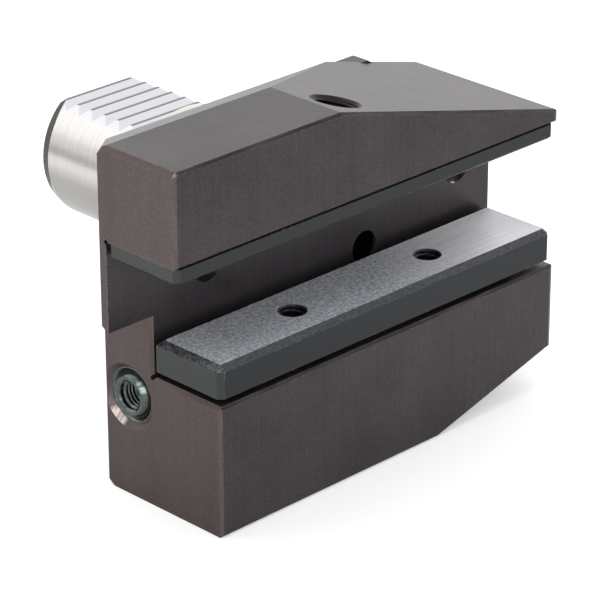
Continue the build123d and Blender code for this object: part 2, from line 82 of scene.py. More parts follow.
# %% [markdown]
# Four small helpers come first. Blender's shaders work in linear light, while a colour is
# written as an sRGB hex value, so one function turns the second into the first. The next adds a
# shader node with its settings and its links in one call, which keeps a material about as long
# as its description in words. It names a socket by its title, or by its number where a title
# repeats: a Mix node takes its share at 0 and two numbers at 2 and 3, or two colours at 6 and
# 7, and gives the mixed colour at output 2. The last two empty a node tree and fill in a colour
# ramp.

# %% Helpers for colours and nodes
def linear(hex_colour):
    """sRGB hex to linear light: a straight toe below 0.04045, and a power of 2.4 above it."""
    channels = [int(hex_colour[i:i + 2], 16) / 255 for i in (1, 3, 5)]
    toe = [c / 12.92 if c <= 0.04045 else ((c + 0.055) / 1.055) ** 2.4 for c in channels]
    return (*toe, 1.0)


def add(tree, kind, inputs=None, **settings):
    """Add a node: settings are its properties, inputs its sockets' values or links."""
    made = tree.nodes.new("ShaderNode" + kind)
    for name, value in settings.items():
        setattr(made, name, value)
    for socket, value in (inputs or {}).items():
        if isinstance(value, bpy.types.NodeSocket):
            tree.links.new(value, made.inputs[socket])
        else:
            made.inputs[socket].default_value = value
    return made


def empty_tree(owner):
    """The node tree of a material or a world, with nothing in it."""
    owner.use_nodes = True
    owner.node_tree.nodes.clear()
    return owner.node_tree


def set_tones(ramp, tones):
    """Fill in a colour ramp's stops, each a position and a hex colour."""
    for stop, (position, colour) in zip(ramp.color_ramp.elements, tones):
        stop.color = linear(colour)
        stop.position = position


WHITE = (1, 1, 1, 1)
print("a mid grey in linear light:", round(linear("#808080")[0], 3))

# %% [markdown]
# The camera stands in front, to the left and above, far off with a long lens, so the holder's
# long edges stay nearly parallel. It is placed by three things that a photographer would
# give: where the camera stands, the point that it looks at, and the lens.

# %% Camera
SENSOR = 36.0
LENS = 191.2
CAMERA_PLACE = Vector((-400.25, -408.65, 243.96)) * MM
CAMERA_AIM = Vector((-15.28, -20.0, -6.89)) * MM
CAMERA_ROLL = radians(-0.13)
NEAREST_SEEN = 0.01

view_line = CAMERA_AIM - CAMERA_PLACE
camera_data = bpy.data.cameras.new("camera")
camera_data.lens = LENS
camera_data.sensor_width = SENSOR
camera_data.clip_start = NEAREST_SEEN
camera = bpy.data.objects.new("camera", camera_data)
turn = view_line.to_track_quat("-Z", "Y").to_matrix().to_4x4()
roll = Matrix.Rotation(CAMERA_ROLL, 4, "Z")
camera.matrix_world = Matrix.Translation(CAMERA_PLACE) @ turn @ roll
bpy.context.scene.collection.objects.link(camera)
bpy.context.scene.camera = camera
bpy.context.scene.view_settings.view_transform = "Standard"
print("camera distance in mm:", round(view_line.length / MM))

# %% [markdown]
# Steel this dark takes nearly all its tone from what it reflects. The photograph was made in a
# white studio with its brightest sheet high up behind the object, which is what gives the top
# faces and the upper side of the shank their sheen. So the world is white all round with a
# broad bright patch back there. Light Path lets the camera and the steel see it as a white
# room, while it lights matt surfaces at a lower level.

# %% World
WORLD_LEVEL = 0.58    # what lights the matt surfaces
PATCH_LEVEL = 0.78    # what the patch adds to it
ROOM_LEVEL = 1.0      # what the camera and the steel see
ROOM_PATCH = 0.36
PATCH_DIRECTION = Vector((0.35, 0.75, 0.5)).normalized()
PATCH_EDGE = 0.25     # cosine of the angle at which the bright patch begins
PATCH_CORE = 0.65     # cosine of the angle inside which it is full

world = bpy.data.worlds.new("studio")
bpy.context.scene.world = world
tree = empty_tree(world)
rays = add(tree, "LightPath")
sky = add(tree, "VectorMath", {0: add(tree, "TexCoord").outputs["Generated"],
                               1: PATCH_DIRECTION}, operation="DOT_PRODUCT")
patch = add(tree, "MapRange", {"Value": sky.outputs["Value"], "From Min": PATCH_EDGE,
                               "From Max": PATCH_CORE}, interpolation_type="SMOOTHSTEP")
light = add(tree, "Math", {0: patch.outputs[0], 1: PATCH_LEVEL, 2: WORLD_LEVEL},
            operation="MULTIPLY_ADD")
room = add(tree, "Math", {0: patch.outputs[0], 1: ROOM_PATCH, 2: ROOM_LEVEL},
           operation="MULTIPLY_ADD")
steel_or_glass = add(tree, "Math", {0: rays.outputs["Is Glossy Ray"],
                                    1: rays.outputs["Is Transmission Ray"]}, operation="ADD")
looking = add(tree, "Math", {0: rays.outputs["Is Camera Ray"], 1: steel_or_glass.outputs[0]},
              operation="ADD", use_clamp=True)
surround = add(tree, "Background", {"Color": WHITE, "Strength": light.outputs[0]})
backdrop = add(tree, "Background", {"Color": WHITE, "Strength": room.outputs[0]})
seen = add(tree, "MixShader", {0: looking.outputs[0], 1: surround.outputs[0],
                               2: backdrop.outputs[0]})
add(tree, "OutputWorld", {"Surface": seen.outputs[0]})
print("world nodes:", len(tree.nodes))

# %% [markdown]
# Four soft lamps do the rest: one low beside the camera reaches into the slot and onto the
# ground bar, a small one high on the left gives the corners and the ball their glints, one
# high on the right is what the sloping teeth of the rack reflect, and one behind is what the
# top of the shank reflects.

# %% Lamps
def softbox(name, place, size, power, colour):
    """A square area lamp that faces the holder. Place and size are in metres."""
    lamp = bpy.data.lights.new(name, "AREA")
    lamp.size = size
    lamp.energy = power
    lamp.color = linear(colour)[:3]
    stand = bpy.data.objects.new(name, lamp)
    facing_holder = (CAMERA_AIM - Vector(place)).to_track_quat("-Z", "Y").to_matrix().to_4x4()
    stand.matrix_world = Matrix.Translation(place) @ facing_holder
    bpy.context.scene.collection.objects.link(stand)


softbox("camera_lamp", (-0.75, -0.75, 0.45), 0.5, 3.2, "#ffffff")
softbox("glint_lamp", (-0.68, -0.26, 0.81), 0.3, 1.1, "#ffffff")
softbox("right_lamp", (0.77, -0.29, 0.88), 0.8, 0.6, "#f4f4ff")
softbox("back_lamp", (-0.65, 0.83, 0.67), 0.85, 0.8, "#ffffff")

# %% [markdown]
# The floor is a plain disc just under the holder. The gap between them is too thin to see, and
# keeps the disc from lying in the same plane as the underside.

# %% Floor
FLOOR_RADIUS = 4.0
FLOOR_SIDES = 96
FLOOR_GAP = 0.05 * MM

floor_z = solid_low.z - FLOOR_GAP
angles = np.linspace(0, 2 * pi, FLOOR_SIDES, endpoint=False)
rim = np.stack([FLOOR_RADIUS * np.cos(angles), FLOOR_RADIUS * np.sin(angles),
                np.full(FLOOR_SIDES, floor_z)], axis=1)
floor_mesh = bpy.data.meshes.new("floor")
floor_mesh.from_pydata(rim.tolist(), [], [list(range(FLOOR_SIDES))])
floor = bpy.data.objects.new("floor", floor_mesh)
bpy.context.scene.collection.objects.link(floor)
print("floor height in mm:", round(floor_z / MM, 1))

# %% [markdown]
# The floor's white paper glows a little, like the lit sheet of a product table: Light Path
# gives one amount of glow to what the camera sees, so that it reads as white while the shadow
# under the holder stays, and a smaller one to what the steel reflects, most of it far out on
# the left, where the sheet catches the light from behind. From below the paper is clear, and
# so it is for rays that have come less than a third of a millimetre, which are those from the
# underside. So the underside can be looked at.

# %% White paper
PAPER = "#f2f2f2"
FLOOR_GLOW = 0.36
REFLECTED_GLOW = 0.32
GLOW_DIRECTION = Vector((-1, 1, 0)).normalized()
GLOW_NEAR = 0.06       # metres out from the shank's axis where the reflected glow begins
GLOW_FAR = 0.19        # and where it is full
TOUCHING = 0.3 * MM

paper = bpy.data.materials.new("white_paper")
tree = empty_tree(paper)
rays = add(tree, "LightPath")
side = add(tree, "NewGeometry")
out = add(tree, "VectorMath", {0: add(tree, "TexCoord").outputs["Object"], 1: GLOW_DIRECTION},
          operation="DOT_PRODUCT")
spill = add(tree, "MapRange", {"Value": out.outputs["Value"], "From Min": GLOW_NEAR,
                               "From Max": GLOW_FAR, "To Max": REFLECTED_GLOW})
steel_glow = add(tree, "Math", {0: rays.outputs["Is Glossy Ray"], 1: spill.outputs[0]},
                 operation="MULTIPLY")
glow = add(tree, "Math", {0: rays.outputs["Is Camera Ray"], 1: FLOOR_GLOW,
                          2: steel_glow.outputs[0]}, operation="MULTIPLY_ADD")
matt = add(tree, "BsdfDiffuse", {"Color": linear(PAPER)})
lit = add(tree, "Emission", {"Color": WHITE, "Strength": glow.outputs[0]})
both = add(tree, "AddShader", {0: matt.outputs[0], 1: lit.outputs[0]})
clear = add(tree, "BsdfTransparent")
touch = add(tree, "Math", {0: rays.outputs["Ray Length"], 1: TOUCHING}, operation="LESS_THAN")
through = add(tree, "Math", {0: side.outputs["Backfacing"], 1: touch.outputs[0]},
              operation="MAXIMUM")
sheet = add(tree, "MixShader", {0: through.outputs[0], 1: both.outputs[0],
                                2: clear.outputs[0]})
add(tree, "OutputMaterial", {"Surface": sheet.outputs[0]})
floor_mesh.materials.append(paper)
print("paper nodes:", len(tree.nodes))

# %% [markdown]
# A cylinder mirrors the whole studio in one narrow band, and what makes it read as polished
# and round is a dark line in that band. Photographers set up a grey card for it, out of the
# picture. This low one stands behind on the left. Only rays that bounce off gloss meet it, so
# it neither shades the floor nor gets into another view.

# %% Grey card for the shank
CARD_MIDDLE = Vector((-0.167, 0.188, 0.0))
CARD_HALF_WIDTH = 0.06
CARD_TOP = 0.004
CARD_SHADE = 0.61

along_card = Vector((CARD_MIDDLE.y, -CARD_MIDDLE.x, 0)).normalized() * CARD_HALF_WIDTH
card_corners = [CARD_MIDDLE + side * along_card + Vector((0, 0, z))
                for side, z in ((-1, floor_z), (1, floor_z), (1, CARD_TOP), (-1, CARD_TOP))]
card_mesh = bpy.data.meshes.new("grey_card")
card_mesh.from_pydata(card_corners, [], [(0, 1, 2, 3)])
card = bpy.data.objects.new("grey_card", card_mesh)
bpy.context.scene.collection.objects.link(card)
card_finish = bpy.data.materials.new("grey_card")
tree = empty_tree(card_finish)
rays = add(tree, "LightPath")
clear = add(tree, "BsdfTransparent")
grey = add(tree, "Emission", {"Color": WHITE, "Strength": CARD_SHADE})
sheet = add(tree, "MixShader", {0: rays.outputs["Is Glossy Ray"], 1: clear.outputs[0],
                                2: grey.outputs[0]})
add(tree, "OutputMaterial", {"Surface": sheet.outputs[0]})
card_mesh.materials.append(card_finish)
print("card is", round(CARD_MIDDLE.length / MM), "mm from the shank's axis")

# %% [markdown]
# The metals share three helpers. The first starts a metallic material. The second makes a
# pattern that a tool has drawn out along its path: a noise whose cell has a size of its own
# along each axis. The third finds the edges, which handling rubs bright. The Bevel node gives
# the normal that a rounded edge would have, and near an edge this turns away from the face's
# own normal.

# %% Helpers for metals
BEVEL_SAMPLES = 6


def new_material(name, roughness):
    """A metallic material, with its node tree and its main shader."""
    made = bpy.data.materials.new(name)
    tree = empty_tree(made)
    shader = add(tree, "BsdfPrincipled", {"Metallic": 1.0, "Roughness": roughness})
    add(tree, "OutputMaterial", {"Surface": shader.outputs[0]})
    return made, tree, shader


def drawn_out(tree, place, cell, detail=2.0, roughness=0.5):
    """Noise with a cell of so many millimetres along x, y and z."""
    scale = [1 / (size * MM) for size in cell]
    mapped = add(tree, "Mapping", {"Vector": place, "Scale": scale})
    noise = add(tree, "TexNoise", {"Vector": mapped.outputs[0], "Scale": 1.0,
                                   "Detail": detail, "Roughness": roughness})
    return noise.outputs[0]


def near_edges(tree, radius, start, full):
    """1 at an edge and 0 away from it.

    The dot product of the rounded normal and the face's own is 1 on a flat face. The result
    rises from 0 where the product has come down to start, and is 1 where it is full.
    """
    rounded = add(tree, "Bevel", {"Radius": radius * MM}, samples=BEVEL_SAMPLES)
    flat = add(tree, "NewGeometry")
    agree = add(tree, "VectorMath", {0: rounded.outputs[0], 1: flat.outputs["Normal"]},
                operation="DOT_PRODUCT")
    return add(tree, "MapRange", {"Value": agree.outputs["Value"], "From Min": start,
                                  "From Max": full}).outputs[0]


print("rounded edges take", BEVEL_SAMPLES, "samples")

# %% [markdown]
# The head is blackened steel: milled, then dipped in hot salts that turn its skin to a brown
# black oxide. The oxide is a thin dark film on metal, so it is mostly metallic with a dark
# base colour. What makes it read as machined is fine: cutter lines along each face, a cloudy
# variation where the oil lay, and a grain. Light is painted into its tone by the way that a
# face looks: the left faces get a painted brown reflection, and above the lower jaw faces that
# lean to the right or to the back get a painted sheen and the others painted shade.

# %% Blackened skin of the head
CLOUD_SIZE = 14.0            # this and all sizes and places below are in millimetres
GRAIN_SIZE = 0.35
MILLED_CELL = (0.5, 4, 60)   # cutter lines, drawn about twice as coarse as real ones to show
LINE_CONTRAST = 0.06
GRAIN_CONTRAST = 0.22
OXIDE_TONES = ((0.3, "#443f42"), (0.7, "#4e494b"))
OXIDE_ROUGHNESS = 0.36
# Painted light by a face's direction: a brown reflection on the left faces, and above the lower
# jaw a sheen on faces that lean right or back and shade on the others.
LEFT_REFLECTED_BROWN = "#534a48"
LEFT_FROM, LEFT_FULL = -0.5, -0.9      # the normal's part along x
LEAN_FROM, LEAN_FULL = 0.1, 0.42       # the larger of its parts along x and y
LEAN_DARK, LEAN_LIGHT = 0.88, 1.42
LEAN_BOTTOM, LEAN_TOP = -12.0, -6.0    # heights between which the leaning tones set in

holder_steel, tree, shader = new_material("blackened_and_ground_steel", OXIDE_ROUGHNESS)
coords = add(tree, "TexCoord")
place = coords.outputs["Object"]
along = add(tree, "SeparateXYZ", {0: place})
facing = add(tree, "SeparateXYZ", {0: coords.outputs["Normal"]})
clouds = add(tree, "TexNoise", {"Vector": place, "Scale": 1 / (CLOUD_SIZE * MM), "Detail": 3.0})
grain = add(tree, "TexNoise", {"Vector": place, "Scale": 1 / (GRAIN_SIZE * MM), "Detail": 2.0})
oxide = add(tree, "ValToRGB", {0: clouds.outputs[0]})
set_tones(oxide, OXIDE_TONES)

# Painted sheen and shade by the face's direction, set in above the lower jaw.
leaning = add(tree, "Math", {0: facing.outputs[0], 1: facing.outputs[1]}, operation="MAXIMUM")
sheen = add(tree, "MapRange", {"Value": leaning.outputs[0], "From Min": LEAN_FROM,
                               "From Max": LEAN_FULL, "To Min": LEAN_DARK,
                               "To Max": LEAN_LIGHT})
upper_half = add(tree, "MapRange", {"Value": along.outputs[2], "From Min": LEAN_BOTTOM * MM,
                                    "From Max": LEAN_TOP * MM})
shade = add(tree, "Mix", {0: upper_half.outputs[0], 2: 1.0, 3: sheen.outputs[0]})
toned = add(tree, "VectorMath", {0: oxide.outputs[0], 3: shade.outputs[0]}, operation="SCALE")
# Painted brown reflection on the faces that look left.
left_face = add(tree, "MapRange", {"Value": facing.outputs[0], "From Min": LEFT_FROM,
                                   "From Max": LEFT_FULL})
brown = add(tree, "Mix", {0: left_face.outputs[0], 6: toned.outputs[0], 7: linear(LEFT_REFLECTED_BROWN)},
            data_type="RGBA")

lines = add(tree, "MapRange", {"Value": drawn_out(tree, place, MILLED_CELL),
                               "From Min": 0.35, "From Max": 0.65,
                               "To Min": 1 - LINE_CONTRAST, "To Max": 1 + LINE_CONTRAST})
speckle = add(tree, "MapRange", {"Value": grain.outputs[0], "From Min": 0.3, "From Max": 0.7,
                                 "To Min": 1 - GRAIN_CONTRAST, "To Max": 1 + GRAIN_CONTRAST})
texture = add(tree, "Math", {0: lines.outputs[0], 1: speckle.outputs[0]}, operation="MULTIPLY")
tinted = add(tree, "VectorMath", {0: brown.outputs[2], 3: texture.outputs[0]}, operation="SCALE")
print("nodes of the blackened skin:", len(tree.nodes))

# %% [markdown]
# Edges are rubbed back towards bare steel, broken up by the grain. The chamfers have finishes
# of their own, crossed by short cutter marks. A chamfer is known by its direction: two parts of
# its normal are large at the same time, so their product is too, and its sign tells which
# chamfer it is. The long front chamfers are painted dark, as shade. Three spots, worn down to
# bright steel, carry painted glints: on the near corner of the upper jaw, on the left end of
# the lower jaw and at the right of the slot.

# %% Edges, chamfers and worn spots
EDGE_RADIUS = 0.25
BARE_EDGE = "#a08f8a"
MARK_CELL = (9, 0.6, 9)
CHAMFERS = (                      # two parts of the normal, the product's sign, colour, share
    (1, 2, -1, "#231e20", 0.9),   # long front edges, painted dark as shade
    (0, 2, -1, "#50423f", 0.75),  # left edges, with rubbed cutter marks
    (0, 1, 1, "#6a5b59", 0.7),    # upright left edges
)
CHAMFER_FROM, CHAMFER_FULL = 0.3, 0.45
ANY_FROM, ANY_FULL = 0.2, 0.4     # the products added up, on a chamfer of any kind
# Painted glints on spots worn to bright steel.
WORN_GLINT = "#d6c7c1"
WORN_GLINT_SPOTS = (((-65.0, -40.0, 39.0), 0.95), ((-54.6, -11.8, -20.7), 2.6),
              ((24.6, -22.0, 5.35), 1.0))  # place and size
WORN_GLINT_CORE = 0.6                   # the share of a spot's size where the painted glint is full

rubbed = add(tree, "MapRange", {"Value": grain.outputs[0], "From Min": 0.42, "From Max": 0.62,
                                "To Max": 0.8})
wear = add(tree, "Math", {0: near_edges(tree, EDGE_RADIUS, 0.98, 0.86), 1: rubbed.outputs[0]},
           operation="MULTIPLY")
head = add(tree, "Mix", {0: wear.outputs[0], 6: tinted.outputs[0], 7: linear(BARE_EDGE)},
           data_type="RGBA")
marked = add(tree, "MapRange", {"Value": drawn_out(tree, place, MARK_CELL), "From Min": 0.4,
                                "From Max": 0.6, "To Min": 0.45, "To Max": 1.0})
tilted = 0.0
for first, second, sign, colour, most in CHAMFERS:
    product = add(tree, "Math", {0: facing.outputs[first], 1: facing.outputs[second]},
                  operation="MULTIPLY")
    slant = add(tree, "Math", {0: product.outputs[0]}, operation="ABSOLUTE")
    tilted = add(tree, "Math", {0: slant.outputs[0], 1: tilted}, operation="ADD").outputs[0]
    here = add(tree, "MapRange", {"Value": product.outputs[0], "From Min": sign * CHAMFER_FROM,
                                  "From Max": sign * CHAMFER_FULL, "To Max": most})
    share = add(tree, "Math", {0: here.outputs[0], 1: marked.outputs[0]}, operation="MULTIPLY")
    head = add(tree, "Mix", {0: share.outputs[0], 6: head.outputs[2], 7: linear(colour)},
               data_type="RGBA")
on_chamfer = add(tree, "MapRange", {"Value": tilted, "From Min": ANY_FROM,
                                    "From Max": ANY_FULL})
# Each spot gets a painted glint, broken up by the cutter marks, on chamfers only.
for centre, size in WORN_GLINT_SPOTS:
    apart = add(tree, "VectorMath", {0: place, 1: Vector(centre) * MM}, operation="DISTANCE")
    near = add(tree, "MapRange", {"Value": apart.outputs["Value"], "From Min": size * MM,
                                  "From Max": WORN_GLINT_CORE * size * MM})
    broken = add(tree, "Math", {0: near.outputs[0], 1: marked.outputs[0]}, operation="MULTIPLY")
    bright = add(tree, "Math", {0: broken.outputs[0], 1: on_chamfer.outputs[0]},
                 operation="MULTIPLY")
    head = add(tree, "Mix", {0: bright.outputs[0], 6: head.outputs[2], 7: linear(WORN_GLINT)},
               data_type="RGBA")
print("chamfer finishes:", len(CHAMFERS), "worn spots:", len(WORN_GLINT_SPOTS))

# %% [markdown]
# The holes get painted shade: their walls are painted near black. The two holes of the slot's
# wall are picked out by a box round them. The coolant port is picked out by the distance from
# its axis, which is the length of a cross product, and only down into the upper jaw. The far
# end of the shank, its lead-in chamfer, is black too. The line where the black begins isn't
# straight: it runs further out at the top and further still at the bottom.

# %% Dark holes and the shank's black end
HOLE_SHADE = "#141213"
WALL_HOLES = ((-10, 43), (-14.25, 6.95), (5, 13))  # middle and half size along x, y and z
PORT_SHADE_COLOUR = "#1a1211"
PORT_SHADE = 0.85
PORT_MARGIN = 0.45        # past the hole's radius
PORT_BOTTOM = 22.0        # the painted shade ends here, above the jaw's underside
END_BLACK = "#3a3b3a"
END_BLACK_FROM = 52.8     # along the shank, from here to its end
END_UPPER = (8.0, 12.0)   # heights between which the line moves out by END_UPPER_SHIFT
END_UPPER_SHIFT = 0.8
END_LOWER = (-4.0, -9.0)  # and by END_LOWER_SHIFT
END_LOWER_SHIFT = 2.3

# Painted shade in the two holes of the slot's wall.
hole_walls = 1.0
for part, (centre, half) in zip(along.outputs, WALL_HOLES):
    between = add(tree, "Math", {0: part, 1: centre * MM, 2: half * MM}, operation="COMPARE")
    hole_walls = add(tree, "Math", {0: between.outputs[0], 1: hole_walls},
                     operation="MULTIPLY").outputs[0]
head = add(tree, "Mix", {0: hole_walls, 6: head.outputs[2], 7: linear(HOLE_SHADE)}, data_type="RGBA")

port = mounts["coolant_port"]
port_wall = (port["dims"]["r_mm"] + PORT_MARGIN) * MM
aside = add(tree, "VectorMath", {0: place, 1: Vector(port["pos_m"])}, operation="SUBTRACT")
aside = add(tree, "VectorMath", {0: aside.outputs[0], 1: Vector(port["axis"])},
            operation="CROSS_PRODUCT")
aside = add(tree, "VectorMath", {0: aside.outputs[0]}, operation="LENGTH")
in_port = add(tree, "Math", {0: aside.outputs["Value"], 1: port_wall}, operation="LESS_THAN")
in_jaw = add(tree, "Math", {0: along.outputs[2], 1: PORT_BOTTOM * MM}, operation="GREATER_THAN")
in_port = add(tree, "Math", {0: in_port.outputs[0], 1: in_jaw.outputs[0]}, operation="MULTIPLY")
# Painted shade down the coolant port, most of the way to black.
port_shade_share = add(tree, "Math", {0: in_port.outputs[0], 1: PORT_SHADE}, operation="MULTIPLY")
head = add(tree, "Mix", {0: port_shade_share.outputs[0], 6: head.outputs[2], 7: linear(PORT_SHADE_COLOUR)},
           data_type="RGBA")

end_line = END_BLACK_FROM * MM
for heights, shift in ((END_UPPER, END_UPPER_SHIFT), (END_LOWER, END_LOWER_SHIFT)):
    end_line = add(tree, "MapRange", {
        "Value": along.outputs[2], "From Min": heights[0] * MM, "From Max": heights[1] * MM,
        "To Min": end_line, "To Max": (END_BLACK_FROM + shift) * MM}).outputs[0]
is_end = add(tree, "Math", {0: along.outputs[1], 1: end_line}, operation="GREATER_THAN")
head = add(tree, "Mix", {0: is_end.outputs[0], 6: head.outputs[2], 7: linear(END_BLACK)},
           data_type="RGBA")
print("coolant port radius in mm:", round(port_wall / MM, 2), "with its rim")

# %% [markdown]
# The shank of the same piece is ground bright after blackening. Fine rings from the grinding
# wheel run round it, and its lower half has painted shade. The crests of the milled rack are
# painted darker than the ground shank, as the shade at the teeth, and its flanks are a cooler
# white. All of them are told apart by where they lie.

# %% Ground shank and rack
TURNED_CELL = (9, 0.35, 9)
GROUND_TONES = ((0.3, "#c8c5c2"), (0.7, "#d0cecb"))
# Painted shade on the shank's lower half.
LOWER_SHADE_SKIN = "#94918c"
LOWER_SHADE_SHARE = 0.6
LOWER_SHADE_FROM, LOWER_SHADE_FULL = 1.0, -3.0   # heights
RACK_FROM = 29.3                   # along the shank
FLANK = "#c7c6c9"
FLANK_FROM = 10.4                  # height
# The rack's crests painted dark, as shade.
CREST_SHADE = "#77777d"
CREST_FROM = 11.85                 # height

turned = drawn_out(tree, place, TURNED_CELL)
ground = add(tree, "ValToRGB", {0: turned})
set_tones(ground, GROUND_TONES)
# Painted shade, growing towards the bottom of the shank.
lower_shade = add(tree, "MapRange", {"Value": along.outputs[2], "From Min": LOWER_SHADE_FROM * MM,
                              "From Max": LOWER_SHADE_FULL * MM, "To Max": LOWER_SHADE_SHARE},
           interpolation_type="SMOOTHSTEP")
ground = add(tree, "Mix", {0: lower_shade.outputs[0], 6: ground.outputs[0], 7: linear(LOWER_SHADE_SKIN)},
             data_type="RGBA")
in_rack = add(tree, "Math", {0: along.outputs[1], 1: RACK_FROM * MM}, operation="GREATER_THAN")
for above, colour in ((FLANK_FROM, FLANK), (CREST_FROM, CREST_SHADE)):
    high = add(tree, "Math", {0: along.outputs[2], 1: above * MM}, operation="GREATER_THAN")
    teeth = add(tree, "Math", {0: high.outputs[0], 1: in_rack.outputs[0]}, operation="MULTIPLY")
    ground = add(tree, "Mix", {0: teeth.outputs[0], 6: ground.outputs[2], 7: linear(colour)},
                 data_type="RGBA")
print("rack's finish begins", RACK_FROM, "mm along the shank")

# %% [markdown]
# One material serves the whole piece. It changes over at the flange face: in front of it the
# oxide, which scatters a little light of its own, and behind it the bare ground steel, which
# is smoother and fully metallic.

# %% Oxide in front, ground steel behind
GROUND_FROM = -0.05
GROUND_ROUGHNESS = 0.22
OXIDE_METALLIC = 0.7

is_ground = add(tree, "Math", {0: along.outputs[1], 1: GROUND_FROM * MM},
                operation="GREATER_THAN")
bare = add(tree, "Math", {0: is_ground.outputs[0], 1: is_end.outputs[0]}, operation="SUBTRACT")
skin = add(tree, "Mix", {0: bare.outputs[0], 6: head.outputs[2], 7: ground.outputs[2]},
           data_type="RGBA")
tree.links.new(skin.outputs[2], shader.inputs["Base Color"])
polish = add(tree, "MapRange", {"Value": bare.outputs[0], "To Min": OXIDE_ROUGHNESS,
                                "To Max": GROUND_ROUGHNESS})
tree.links.new(polish.outputs[0], shader.inputs["Roughness"])
metal = add(tree, "MapRange", {"Value": bare.outputs[0], "To Min": OXIDE_METALLIC,
                               "To Max": 1.0})
tree.links.new(metal.outputs[0], shader.inputs["Metallic"])
height = add(tree, "Mix", {0: bare.outputs[0], 2: texture.outputs[0], 3: turned})
relief = add(tree, "Bump", {"Height": height.outputs[0], "Strength": 0.1,
                            "Distance": 0.01 * MM})
tree.links.new(relief.outputs[0], shader.inputs["Normal"])
print("holder steel nodes:", len(tree.nodes))

# %% [markdown]
# The seat plate and the clamping bar are hardened and ground, then blackened. The bar's top is
# rubbed by the tools that it clamps, which leaves small blue grey mottles drawn out along the
# bar. Its right half is rubbed and carries a painted sheen, the reflection of the bright room
# past the wall's end: brightest in streaks, and a little less at the very end.

# %% Rubbed top of the clamping bar
BAR_ROUGHNESS = 0.38
MOTTLE_CELL = (0.7, 0.5, 0.5)
MOTTLE_TONES = ((0.36, "#959aa4"), (0.64, "#e4e7ee"))
STREAK_CELL = (12, 0.3, 0.3)
# Painted sheen: the reflection of the bright room, on the rubbed right half of the bar.
RUBBED_SHEEN_FROM, RUBBED_SHEEN_FULL = 0.55, 0.82   # shares of the bar's length, from its left end
RUBBED_SHEEN_STRENGTH = 1.8
RUBBED_SHEEN_TONES = ("#fafafd", "#d8d8dc")   # near the middle and at the very end
FAR_END = 9.0                           # over which the second one sets in

bar_low, bar_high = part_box("clamping_bar")
bar_steel, tree, shader = new_material("ground_bar_steel", BAR_ROUGHNESS)
coords = add(tree, "TexCoord")
place = coords.outputs["Object"]
facing = add(tree, "SeparateXYZ", {0: coords.outputs["Normal"]})
along = add(tree, "SeparateXYZ", {0: place})
mottle = drawn_out(tree, place, MOTTLE_CELL, detail=4.0, roughness=0.65)
top_skin = add(tree, "ValToRGB", {0: mottle})
set_tones(top_skin, MOTTLE_TONES)
# Painted sheen on the right half, in streaks.
rubbed_sheen_end = add(tree, "MapRange", {
    "Value": along.outputs[0], "From Min": bar_low.lerp(bar_high, RUBBED_SHEEN_FROM).x,
    "From Max": bar_low.lerp(bar_high, RUBBED_SHEEN_FULL).x, "To Max": RUBBED_SHEEN_STRENGTH})
bright_top_sheen = add(tree, "Math", {0: rubbed_sheen_end.outputs[0], 1: drawn_out(tree, place, STREAK_CELL)},
                 operation="MULTIPLY")
far_end = add(tree, "MapRange", {"Value": along.outputs[0],
                                 "From Min": bar_high.x - FAR_END * MM,
                                 "From Max": bar_high.x})
rubbed_sheen_tone = add(tree, "Mix", {0: far_end.outputs[0], 6: linear(RUBBED_SHEEN_TONES[0]),
                                7: linear(RUBBED_SHEEN_TONES[1])}, data_type="RGBA")
upper = add(tree, "Mix", {0: bright_top_sheen.outputs[0], 6: top_skin.outputs[0],
                          7: rubbed_sheen_tone.outputs[2]}, data_type="RGBA")
print("bar length in mm:", round((bar_high.x - bar_low.x) / MM, 1))

# %% [markdown]
# The sides of the bar and the plate are an even green grey, with painted light making the ends
# that face left a little lighter. The bar's bevels are scraped, the left one most, while the
# plate's bevel is painted black, as the shade in the joint under the upper jaw. Bar and plate
# are told apart by height, and a bevel from the top by how much it faces up.

# %% Sides and bevels of the bar and the plate
SIDE_TONES = ("#3f4143", "#494c4b")     # the front, and the left end
# Painted shade for the plate's bevel, in the joint under the upper jaw.
PLATE_BEVEL_SHADE = "#171618"
TOP_BAND = 1.3                          # from the bar's top down past its bevel
LEVEL_FROM, LEVEL_FULL = 0.85, 0.95     # the normal's part along z, on the top
BEVEL_FROM, BEVEL_FULL = 0.5, 0.65      # and on a bevel
SCRAPED_LEAST, SCRAPED_MOST = 0.05, 0.2

level = add(tree, "MapRange", {"Value": facing.outputs[2], "From Min": LEVEL_FROM,
                               "From Max": LEVEL_FULL})
bevel = add(tree, "MapRange", {"Value": facing.outputs[2], "From Min": BEVEL_FROM,
                               "From Max": BEVEL_FULL})
worn_side = add(tree, "MapRange", {"Value": facing.outputs[0], "From Min": -0.3,
                                   "From Max": -0.6, "To Min": SCRAPED_LEAST,
                                   "To Max": SCRAPED_MOST})
scraped = add(tree, "MapRange", {"Value": mottle, "From Min": 0.4, "From Max": 0.62,
                                 "To Max": worn_side.outputs[0]})
worn_bevel = add(tree, "Math", {0: bevel.outputs[0], 1: scraped.outputs[0]},
                 operation="MULTIPLY")
upward = add(tree, "Math", {0: level.outputs[0], 1: worn_bevel.outputs[0]},
             operation="MAXIMUM")
on_bar = add(tree, "Math", {0: along.outputs[2], 1: bar_high.z, 2: TOP_BAND * MM},
             operation="COMPARE")
faces_up = add(tree, "Math", {0: upward.outputs[0], 1: on_bar.outputs[0]},
               operation="MULTIPLY")
# Painted shade on the plate's bevel.
plate_bevel = add(tree, "Math", {0: bevel.outputs[0], 1: on_bar.outputs[0]},
                  operation="SUBTRACT", use_clamp=True)
